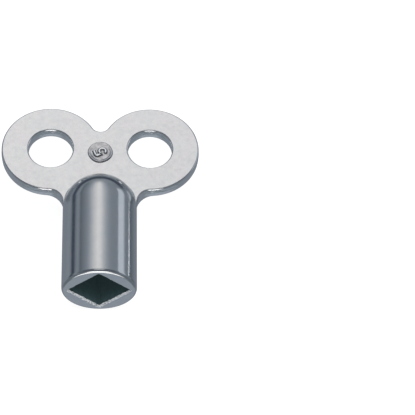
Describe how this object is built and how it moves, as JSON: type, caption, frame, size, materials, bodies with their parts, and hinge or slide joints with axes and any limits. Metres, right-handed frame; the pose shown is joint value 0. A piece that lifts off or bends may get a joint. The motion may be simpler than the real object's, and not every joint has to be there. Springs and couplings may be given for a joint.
{
  "type": "radiator bleed key",
  "caption": "Small plated die-cast radiator bleed key: round barrel with a square socket in its end and a flat butterfly grip of round wings, each with an eye.",
  "frame": {"origin": "centre of the square socket's mouth, on the barrel's axis", "axes": "+Y along the barrel's axis from the mouth to the wings, +X across the wings to the right wing, +Z out of the side of the grip that carries the numeral; Z = 0 is the grip's mid-plane"},
  "size_m": [0.0238, 0.0254, 0.0088],
  "materials": {
    "polished_casting": "polished",
    "satin_casting": "satin"
  },
  "bodies": {
    "root": {"barrel": "polished_casting", "barrel_head": "polished_casting", "left_wing": "satin_casting", "right_wing": "satin_casting", "bridge": "satin_casting", "number_pad": "satin_casting", "size_numeral": "satin_casting"}
  },
  "joints": []
}
